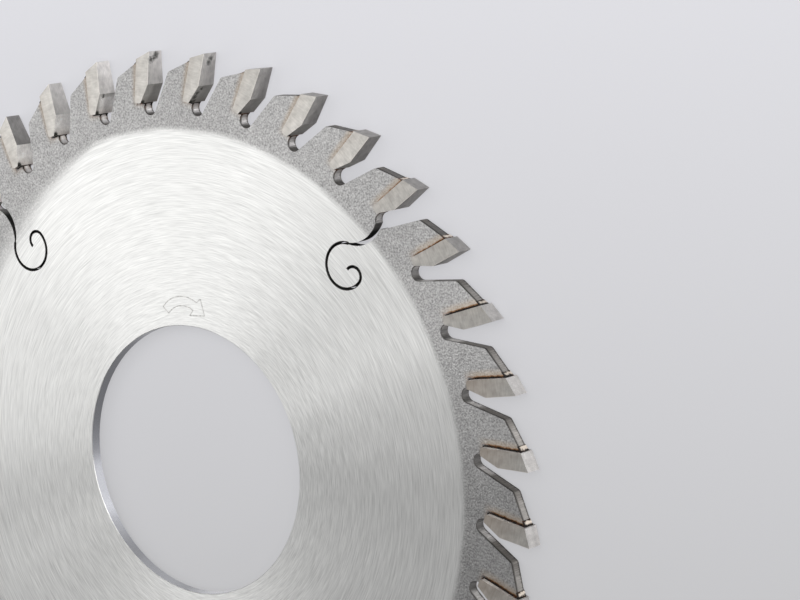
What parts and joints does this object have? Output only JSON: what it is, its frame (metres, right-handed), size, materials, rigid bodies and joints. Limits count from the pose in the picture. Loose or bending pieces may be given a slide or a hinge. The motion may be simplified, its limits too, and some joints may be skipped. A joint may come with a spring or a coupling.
{
  "type": "conical scoring saw blade",
  "caption": "Round scoring saw blade with conical carbide teeth, curled expansion slots and a large plain clamping bore.",
  "frame": {"origin": "centre of the bore, halfway through the thickness of the plate", "axes": "+Z along the bore axis, out of the face seen in the picture; +X through the cutting edge of tip 01; seen from +Z the blade turns clockwise"},
  "size_m": [0.15, 0.15, 0.0044],
  "materials": {
    "ground_steel": "satin ground",
    "tungsten_carbide": "fine ground",
    "silver_braze": "as brazed"
  },
  "bodies": {
    "root": {"saw_body": "ground_steel", "carbide_tip_01": "tungsten_carbide", "carbide_tip_02": "tungsten_carbide", "carbide_tip_03": "tungsten_carbide", "carbide_tip_04": "tungsten_carbide", "carbide_tip_05": "tungsten_carbide", "carbide_tip_06": "tungsten_carbide", "carbide_tip_07": "tungsten_carbide", "carbide_tip_08": "tungsten_carbide", "carbide_tip_09": "tungsten_carbide", "carbide_tip_10": "tungsten_carbide", "carbide_tip_11": "tungsten_carbide", "carbide_tip_12": "tungsten_carbide", "carbide_tip_13": "tungsten_carbide", "carbide_tip_14": "tungsten_carbide", "carbide_tip_15": "tungsten_carbide", "carbide_tip_16": "tungsten_carbide", "carbide_tip_17": "tungsten_carbide", "carbide_tip_18": "tungsten_carbide", "carbide_tip_19": "tungsten_carbide", "carbide_tip_20": "tungsten_carbide", "carbide_tip_21": "tungsten_carbide", "carbide_tip_22": "tungsten_carbide", "carbide_tip_23": "tungsten_carbide", "carbide_tip_24": "tungsten_carbide", "carbide_tip_25": "tungsten_carbide", "carbide_tip_26": "tungsten_carbide", "carbide_tip_27": "tungsten_carbide", "carbide_tip_28": "tungsten_carbide", "carbide_tip_29": "tungsten_carbide", "carbide_tip_30": "tungsten_carbide", "carbide_tip_31": "tungsten_carbide", "carbide_tip_32": "tungsten_carbide", "carbide_tip_33": "tungsten_carbide", "carbide_tip_34": "tungsten_carbide", "carbide_tip_35": "tungsten_carbide", "carbide_tip_36": "tungsten_carbide", "braze_seams": "silver_braze"}
  },
  "joints": []
}
